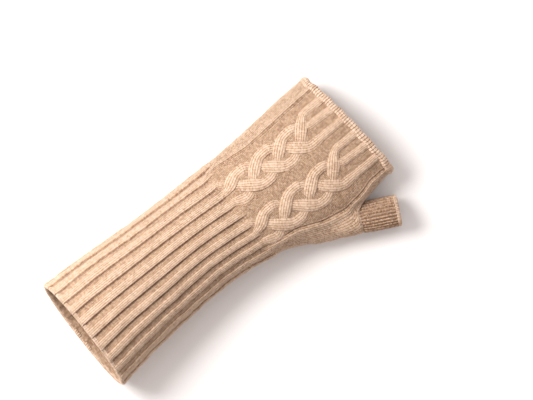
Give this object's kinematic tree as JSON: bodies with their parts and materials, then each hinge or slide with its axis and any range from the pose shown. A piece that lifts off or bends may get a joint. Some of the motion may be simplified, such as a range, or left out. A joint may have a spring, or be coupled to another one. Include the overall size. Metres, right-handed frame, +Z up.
{
  "type": "fingerless glove",
  "caption": "Left-hand fingerless glove in fine beige knit: ribbed forearm, cabled hand back, set-in thumb sleeve, bound-off edges.",
  "frame": {"origin": "on the surface that the glove lies on, below the middle of its box", "axes": "+Z up, +Y along the glove from the arm opening to the finger opening, +X to the thumb's side"},
  "size_m": [0.1241, 0.2536, 0.0619],
  "materials": {
    "knit_main": "fine brushed cashmere knit, matt, oatmeal melange",
    "knit_cable": "fine brushed cashmere knit in relief, matt, oatmeal melange",
    "knit_edge": "cast-on and bound-off yarn, matt, a little lighter than the knit"
  },
  "bodies": {
    "forearm": {"arm_edge_cast_on": "knit_edge", "forearm_ribbing": "knit_main"},
    "wrist": {"wrist_ribbing": "knit_main"},
    "hand": {"heel_rounds": "knit_main", "hand_back_panel": "knit_main", "palm_panel": "knit_main", "finger_ribbing": "knit_main", "finger_edge_bind_off": "knit_edge", "thumb_gusset_base": "knit_main", "thumb_gusset": "knit_main", "thumb_joining_seam": "knit_edge", "cable_a_strand_1": "knit_cable", "cable_a_strand_2": "knit_cable", "cable_a_strand_3": "knit_cable", "cable_b_strand_1": "knit_cable", "cable_b_strand_2": "knit_cable", "cable_b_strand_3": "knit_cable"},
    "thumb": {"thumb_base_rounds": "knit_main", "thumb_sleeve": "knit_main", "thumb_edge_bind_off": "knit_edge"}
  },
  "joints": [
    {"name": "wrist_side_bend", "type": "hinge", "parent": "forearm", "child": "wrist", "pos_m": [-0.01864, 0.00321, 0.022], "axis": [0, 0, 1], "range_deg": [-20, 30], "stiffness_Nm_per_rad": 0.02, "deforming": ["wrist_ribbing"]},
    {"name": "wrist_bend", "type": "hinge", "parent": "wrist", "child": "hand", "pos_m": [-0.01504, 0.04221, 0.0205], "axis": [1, 0, 0], "range_deg": [-55, 50], "stiffness_Nm_per_rad": 0.02, "deforming": ["heel_rounds", "thumb_gusset_base", "cable_a_strand_1", "cable_a_strand_2", "cable_a_strand_3", "cable_b_strand_1", "cable_b_strand_2", "cable_b_strand_3"]},
    {"name": "thumb_swing", "type": "hinge", "parent": "hand", "child": "thumb", "pos_m": [0.04276, 0.08891, 0.0125], "axis": [0, 0, 1], "range_deg": [-20, 25], "stiffness_Nm_per_rad": 0.005, "deforming": ["thumb_base_rounds"]}
  ]
}
